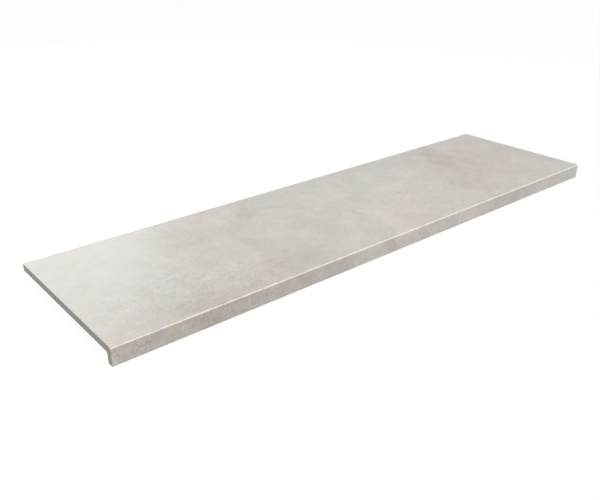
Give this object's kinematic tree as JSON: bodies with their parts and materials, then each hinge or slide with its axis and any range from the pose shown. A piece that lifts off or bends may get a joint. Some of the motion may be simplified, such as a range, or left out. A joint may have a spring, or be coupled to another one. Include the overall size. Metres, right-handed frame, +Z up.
{
  "type": "stair tread tile",
  "caption": "Flat porcelain stair tread tile with a dropped front lip, a rounded front edge and a pocketed underside, bedded on a step to make its walking face and nosing.",
  "frame": {"origin": "middle of the tile's length and depth, at the height of the lip's foot", "axes": "+X along the nosing, +Y from the front of the lip to the back edge, +Z up, out of the walking face"},
  "size_m": [1.2, 0.33, 0.032],
  "materials": {
    "porcelain": "matt concrete-look porcelain stoneware, warm light grey with soft clouds, and a paler line along the rounded front edge"
  },
  "bodies": {
    "root": {"stair_tread": "porcelain"}
  },
  "joints": []
}
